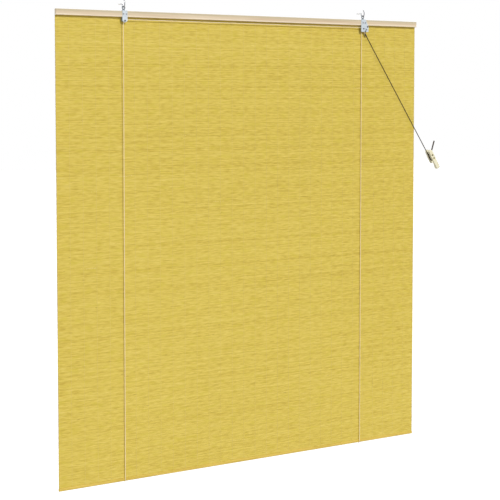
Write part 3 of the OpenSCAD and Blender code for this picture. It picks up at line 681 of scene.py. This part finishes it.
class BLIND_OT_hook_threads(bpy.types.Operator):
    """Cuts the wood screw threads on the hooks' shanks: a ridge of six points carried along a helix, which
    follows the shank's radius to its tapered tip and fades at both ends."""

    bl_idname = "blind.hook_threads"
    bl_label = "Screw threads"

    def execute(self, context):
        stations, fading = 260, 30
        start, end = 5 * MM, HOOK_HIGH[1] - 3 * MM
        pitch, depth = sizes().thread_pitch, sizes().thread_depth
        shank_radius, tip_length, tip_share = 1.8 * MM, 6 * MM, 0.17
        turn = np.linspace(0, (end - start) / pitch * 2 * math.pi, stations)
        y = start + turn / (2 * math.pi) * pitch
        taper = (HOOK_HIGH[1] - y) / tip_length * (1 - tip_share) + tip_share
        shank = shank_radius * np.clip(taper, 0, 1)
        station = np.arange(stations)
        fade = np.clip(np.minimum(station, station[::-1]) / fading, 0.05, 1)
        ridge = np.array([-0.15 * MM, 0, depth, 0, -0.15 * MM, -0.3 * MM])
        aside = np.array([-0.55, -0.4, 0, 0.4, 0.55, 0]) * pitch * 0.5
        radius = shank[:, None] + ridge * fade[:, None]
        points = np.stack(np.broadcast_arrays(
            radius * np.cos(turn)[:, None], y[:, None] + aside * fade[:, None],
            radius * np.sin(turn)[:, None]), -1)
        hook_x = (HOOK_LOW[0] + HOOK_HIGH[0]) / 2
        places = np.array([(hook_x, 0, 0), (-hook_x, 0, 0)])
        sides = len(ridge)
        quads = many(tube_quads(stations, sides)[:, ::-1], stations * sides, len(places))
        finish = bpy.data.materials["bright_steel"]
        make_piece("hook_screw_threads", places[:, None, None] + points, quads, "bright_steel", finish)
        return {"FINISHED"}


class BLIND_OT_finishes(bpy.types.Operator):
    """Gives the solids their finishes: grained wood, zinc, bright and dull steel and nylon."""

    bl_idname = "blind.finishes"
    bl_label = "Finishes"

    def execute(self, context):
        foot, top = float(RAIL_LOW[2]), float(RAIL_HIGH[2])
        # A darker band near the rail's top and a paler band near its foot.
        bands = (
            (paint("rail_top"), top - 9 * MM, top - 4 * MM, 0.6),
            (paint("rail_low"), foot + 7 * MM, foot + 3 * MM, 0.75),
        )
        rail = wood_finish("rail_wood", paint("rail"), paint("rail_dark"), (4, 160, 210), bands=bands)
        hem = wood_finish("hem_bamboo", paint("hem"), paint("reed_dark"), (9, 300, 420), rough=0.5)
        cleat = wood_finish("cleat_wood", paint("cleat"), paint("cleat_dark"), (260, 260, 40),
                            turn=CLEAT_TILT, rough=0.45)
        zinc = metal_finish("zinc_plate", paint("zinc"), metallic=0.75, rough=0.42)
        # The rear plates' hanging eyes get painted shade above the rail's top.
        eye = metal_finish("zinc_eye", paint("zinc"), metallic=0.75, rough=0.42, painted_shade_above=top + 1 * MM)
        steel = metal_finish("bright_steel", paint("steel"), metallic=1.0, rough=0.3)
        pin = metal_finish("dull_steel", paint("pin"), metallic=0.9, rough=0.4)
        nylon = nylon_finish()
        given = {
            "head_rail": rail, "bottom_batten": hem, "wall_cleat": cleat,
            "left_front_plate": zinc, "right_front_plate": zinc,
            "left_rear_plate": eye, "right_rear_plate": eye,
            "left_pulley_pin": pin, "right_pulley_pin": pin, "guide_bar": pin, "spacer_post": pin,
            "lock_roller": pin, "cord_ferrule": pin,
            "left_pulley": nylon, "left_pulley_bush": nylon, "right_front_pulley": nylon,
            "right_rear_pulley": nylon,
        }
        for name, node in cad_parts.items():
            node.data.materials.clear()
            node.data.materials.append(given.get(name, steel))
        return {"FINISHED"}


class BLIND_OT_stage(bpy.types.Operator):
    """Sets up a pale floor, a key light from the upper right, a soft fill behind and a white surround."""

    bl_idname = "blind.stage"
    bl_label = "Stage"

    def execute(self, context):
        context.scene.view_settings.view_transform = "Standard"
        self.add_floor(context)
        self.add_lamp(context, "key", *KEY_LAMP)
        self.add_lamp(context, "fill", *FILL_LAMP)
        world = bpy.data.worlds.new("surround")
        world.use_nodes = True
        context.scene.world = world
        tree = world.node_tree
        background = next(n for n in tree.nodes if n.type == "BACKGROUND")
        background.inputs["Color"].default_value = (1, 1, 1, 1)
        feed(tree, background.inputs["Strength"], fit(tree, seen_rays(tree), (0, 1), (SURROUND_LIGHT, 1)))
        return {"FINISHED"}

    @staticmethod
    def add_floor(context):
        """A wide floor, grey to the blind's light and near white to the eye."""
        z, reach = CAD_BOX[0][2] - FLOOR_DROP, FLOOR_REACH
        mesh = bpy.data.meshes.new("floor")
        corners = [(-reach, -reach, z), (reach, -reach, z), (reach, reach, z), (-reach, reach, z)]
        mesh.from_pydata(corners, [], [(0, 1, 2, 3)])
        floor = bpy.data.objects.new("floor", mesh)
        material, tree, shader = new_material("pale_floor")
        seen = seen_rays(tree)
        feed(tree, shader.inputs["Base Color"], blend(tree, seen, (0.45, 0.45, 0.45), (0.97, 0.97, 0.97)))
        shader.inputs["Roughness"].default_value = 1
        shader.inputs["Specular IOR Level"].default_value = 0
        shader.inputs["Emission Color"].default_value = (1, 1, 1, 1)
        feed(tree, shader.inputs["Emission Strength"], fit(tree, seen, (0, 1), (0, 0.25)))
        mesh.materials.append(material)
        context.scene.collection.objects.link(floor)

    @staticmethod
    def add_lamp(context, name, strength, spread, toward):
        """A far lamp with a spread in degrees, seen from the blind in the direction toward."""
        lamp = bpy.data.lights.new(name, "SUN")
        lamp.energy = strength
        lamp.angle = math.radians(spread)
        holder = bpy.data.objects.new(name, lamp)
        x, y, z = toward
        holder.rotation_euler = (0, math.atan2(math.hypot(x, y), z), math.atan2(y, x))
        context.scene.collection.objects.link(holder)


class BLIND_PT_panel(bpy.types.Panel):
    """Lists the pieces of the blind, its sizes and its colours."""

    bl_label = "Bamboo roll-up blind"
    bl_idname = "BLIND_PT_panel"
    bl_space_type = "VIEW_3D"
    bl_region_type = "UI"
    bl_category = "Blind"

    def draw(self, context):
        for operator in OPERATORS:
            self.layout.operator(operator.bl_idname)
        for group in (context.scene.blind_sizes, context.scene.blind_colours):
            for key in group.__annotations__:
                self.layout.prop(group, key)


OPERATORS = (
    BLIND_OT_camera, BLIND_OT_lift_cords, BLIND_OT_pull_cord, BLIND_OT_knots, BLIND_OT_reed_mat,
    BLIND_OT_warp_threads, BLIND_OT_finishes, BLIND_OT_hook_threads, BLIND_OT_stage,
)
CLASSES = (BlindSizes, BlindColours, *OPERATORS, BLIND_PT_panel)


def register():
    """Registers the classes and the scene's sizes and colours."""
    for each in CLASSES:
        bpy.utils.register_class(each)
    bpy.types.Scene.blind_sizes = bpy.props.PointerProperty(type=BlindSizes)
    bpy.types.Scene.blind_colours = bpy.props.PointerProperty(type=BlindColours)


def unregister():
    """Takes the classes and the scene's sizes and colours away again."""
    del bpy.types.Scene.blind_colours
    del bpy.types.Scene.blind_sizes
    for each in reversed(CLASSES):
        bpy.utils.unregister_class(each)


def main():
    """Makes every piece in order."""
    register()
    bpy.ops.blind.camera()
    bpy.ops.blind.lift_cords()
    bpy.ops.blind.pull_cord()
    bpy.ops.blind.knots()
    bpy.ops.blind.reed_mat()
    bpy.ops.blind.warp_threads()
    bpy.ops.blind.finishes()
    bpy.ops.blind.hook_threads()
    bpy.ops.blind.stage()


if __name__ == "__main__":
    main()
